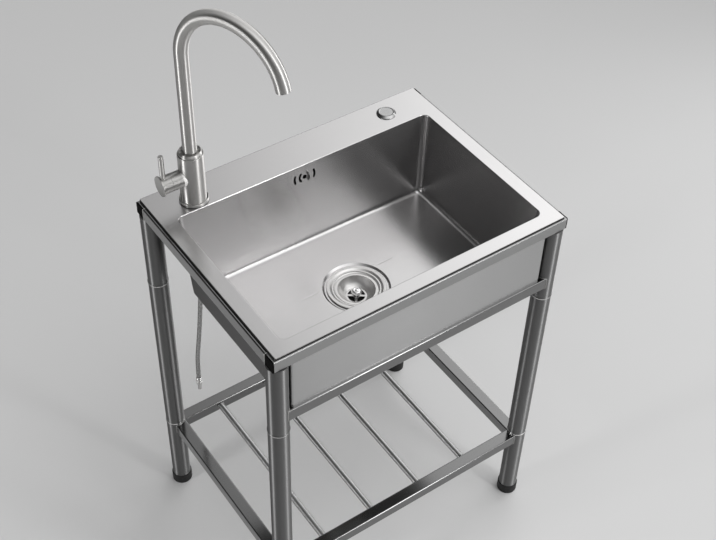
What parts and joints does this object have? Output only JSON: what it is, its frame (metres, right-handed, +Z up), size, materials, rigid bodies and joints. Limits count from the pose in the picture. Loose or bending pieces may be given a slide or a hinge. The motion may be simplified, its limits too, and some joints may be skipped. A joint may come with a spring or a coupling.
{
  "type": "freestanding outdoor sink",
  "caption": "Freestanding stainless steel sink: deep bowl and deck on a tubular stand with a rod shelf, swan-neck swivel tap with side lever, overflow and lift-out drain basket.",
  "frame": {"origin": "on the floor, under the middle of the stand", "axes": "+Z up, +X to the right of someone facing the sink, +Y to the wall behind it"},
  "size_m": [0.621, 0.4628, 1.2345],
  "materials": {
    "bowl_steel": "fine brushed satin",
    "strainer_steel": "turned and polished",
    "tube_steel": "satin drawn along the tube",
    "plug_plastic": "moulded black",
    "foot_rubber": "moulded black",
    "seal_rubber": "plain",
    "drain_plastic": "moulded grey",
    "chrome_parts": "polished",
    "tap_steel": "brushed along the tube",
    "valve_brass": "turned",
    "hose_braid": "fine steel braid"
  },
  "bodies": {
    "stand": {"sink_bowl": "bowl_steel", "front_apron": "bowl_steel", "strainer_body": "strainer_steel", "hole_cap": "strainer_steel", "frame_front_rail": "tube_steel", "frame_rear_rail": "tube_steel", "frame_left_rail": "tube_steel", "frame_right_rail": "tube_steel", "front_lower_rail": "tube_steel", "shelf_front_rail": "tube_steel", "shelf_rear_rail": "tube_steel", "shelf_left_rail": "tube_steel", "shelf_right_rail": "tube_steel", "shelf_rods": "tube_steel", "leg_top_front_left": "tube_steel", "leg_tube_front_left": "tube_steel", "leg_base_front_left": "tube_steel", "leg_top_front_right": "tube_steel", "leg_tube_front_right": "tube_steel", "leg_base_front_right": "tube_steel", "leg_top_rear_left": "tube_steel", "leg_tube_rear_left": "tube_steel", "leg_base_rear_left": "tube_steel", "leg_top_rear_right": "tube_steel", "leg_tube_rear_right": "tube_steel", "leg_base_rear_right": "tube_steel", "rail_end_plugs": "plug_plastic", "overflow_housing": "plug_plastic", "feet": "foot_rubber", "strainer_gasket": "seal_rubber", "strainer_seal": "seal_rubber", "drain_tail_washer": "seal_rubber", "overflow_gasket": "seal_rubber", "tap_gasket": "seal_rubber", "tap_washer": "seal_rubber", "strainer_locknut": "drain_plastic", "drain_tail": "drain_plastic", "drain_tail_nut": "drain_plastic", "hole_cap_nut": "drain_plastic", "spout_bush": "drain_plastic", "overflow_screw": "chrome_parts", "hose_nut": "chrome_parts", "hose_fitting": "chrome_parts", "tap_flange": "tap_steel", "tap_body": "tap_steel", "spout_collar": "tap_steel", "tap_cartridge": "valve_brass", "tap_shank": "valve_brass", "tap_nut": "valve_brass", "supply_hose": "hose_braid"},
    "spout": {"tap_spout": "tap_steel", "spout_seal": "seal_rubber", "aerator": "tap_steel"},
    "handle": {"tap_handle": "tap_steel", "tap_lever": "tap_steel", "tap_spindle": "valve_brass", "handle_screw": "chrome_parts"},
    "basket": {"basket": "strainer_steel", "basket_knob": "chrome_parts", "basket_stopper": "seal_rubber"}
  },
  "joints": [
    {"name": "spout_swivel", "type": "hinge", "parent": "stand", "child": "spout", "pos_m": [-0.219, 0.1725, 0.915], "axis": [0, 0, 1], "continuous": true},
    {"name": "handle_turn", "type": "hinge", "parent": "stand", "child": "handle", "pos_m": [-0.27, 0.1725, 0.868], "axis": [1, 0, 0], "range_deg": [0, 90]},
    {"name": "basket_lift", "type": "slide", "parent": "stand", "child": "basket", "axis": [0, 0, 1], "range_m": [0, 0.1]}
  ]
}
